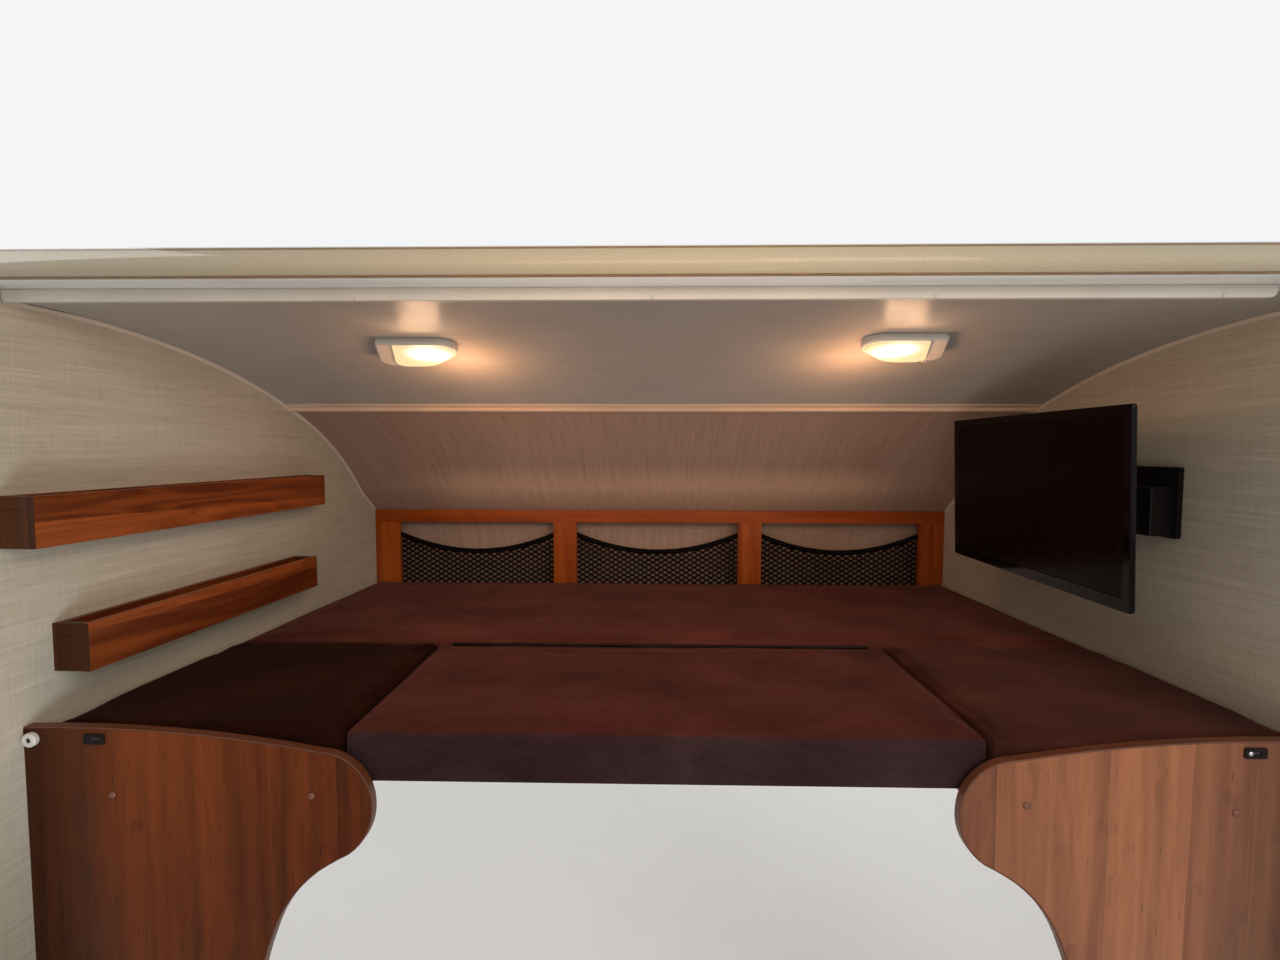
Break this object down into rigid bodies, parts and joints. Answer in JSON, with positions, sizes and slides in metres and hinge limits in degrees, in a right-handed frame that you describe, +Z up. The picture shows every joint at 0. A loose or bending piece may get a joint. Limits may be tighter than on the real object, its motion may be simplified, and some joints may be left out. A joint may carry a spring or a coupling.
{
  "type": "over-cab berth section of a motorhome",
  "caption": "Over-cab sleeping berth section of a motorhome: tapered shell, cushioned bunk with a lifting centre, lobed partitions, net pockets, shelves, lamps and swivelling television.",
  "frame": {"origin": "centre of the roof panel's rear end face, where the section joins the coach roof", "axes": "+X to the right across the vehicle, +Y forward towards the nose, +Z up"},
  "size_m": [2.4132, 1.4324, 2.1325],
  "materials": {
    "gelcoat": "glossy white gelcoat",
    "linen": "beige linen-weave wall covering",
    "ceiling_vinyl": "semi-gloss grey-beige vinyl",
    "white_moulding": "satin off-white",
    "beige_moulding": "satin beige",
    "aluminium": "satin",
    "marker_base": "white plastic",
    "amber_lens": "amber ribbed lens",
    "plywood": "bare plywood",
    "suede": "dark brown microsuede",
    "cherry": "satin cherry laminate",
    "edge_band": "brown",
    "hinge_steel": "dark bronze",
    "black_steel": "black powder coat",
    "net": "black knotted net",
    "black_plastic": "piano black",
    "screen": "dark screen",
    "lamp_lens": "frosted, lit warm"
  },
  "bodies": {
    "shell": {"side_wall_left": "gelcoat", "side_wall_right": "gelcoat", "roof_panel": "gelcoat", "nose_panel": "gelcoat", "belly_panel": "gelcoat", "side_liner_left": "linen", "side_liner_right": "linen", "front_liner": "linen", "ceiling_liner": "ceiling_vinyl", "ceiling_strip": "white_moulding", "side_trims": "white_moulding", "stop_button": "white_moulding", "lamp_housings": "white_moulding", "front_trim": "beige_moulding", "corner_mouldings": "aluminium", "clearance_lamps": "marker_base", "clearance_lenses": "amber_lens", "forward_deck": "plywood", "wing_decks": "plywood", "support_ledges": "plywood", "forward_cushion": "suede", "side_cushion_left": "suede", "side_cushion_right": "suede", "partition_left": "cherry", "partition_right": "cherry", "pocket_rail": "cherry", "shelf_upper": "cherry", "shelf_lower": "cherry", "edge_bands": "edge_band", "hinge_fixed_leaf": "hinge_steel", "hinge_pin": "hinge_steel", "tv_wall_box": "black_steel", "tv_swivel_pin": "black_steel", "catch_plates": "black_steel", "pocket_nets": "net", "lamp_lenses": "lamp_lens"},
    "bunk_section": {"centre_board": "plywood", "centre_cushion": "suede", "hinge_moving_leaf": "hinge_steel"},
    "tv_arm_body": {"tv_arm": "black_steel"},
    "tv_unit": {"tv_head": "black_steel", "tv_tilt_pin": "black_steel", "tv_case": "black_plastic", "tv_screen": "screen"}
  },
  "joints": [
    {"name": "bunk_flip", "type": "hinge", "parent": "shell", "child": "bunk_section", "pos_m": [0, 0.566, -0.82], "axis": [-1, 0, 0], "range_deg": [0, 90]},
    {"name": "tv_swivel", "type": "hinge", "parent": "shell", "child": "tv_arm_body", "pos_m": [1.0491, 0.447, -0.421], "axis": [0, 0, 1], "range_deg": [-20, 20]},
    {"name": "tv_tilt", "type": "hinge", "parent": "tv_arm_body", "child": "tv_unit", "pos_m": [0.92703, 0.44956, -0.421], "axis": [0.0209, 0.9998, 0], "range_deg": [-10, 10]}
  ]
}
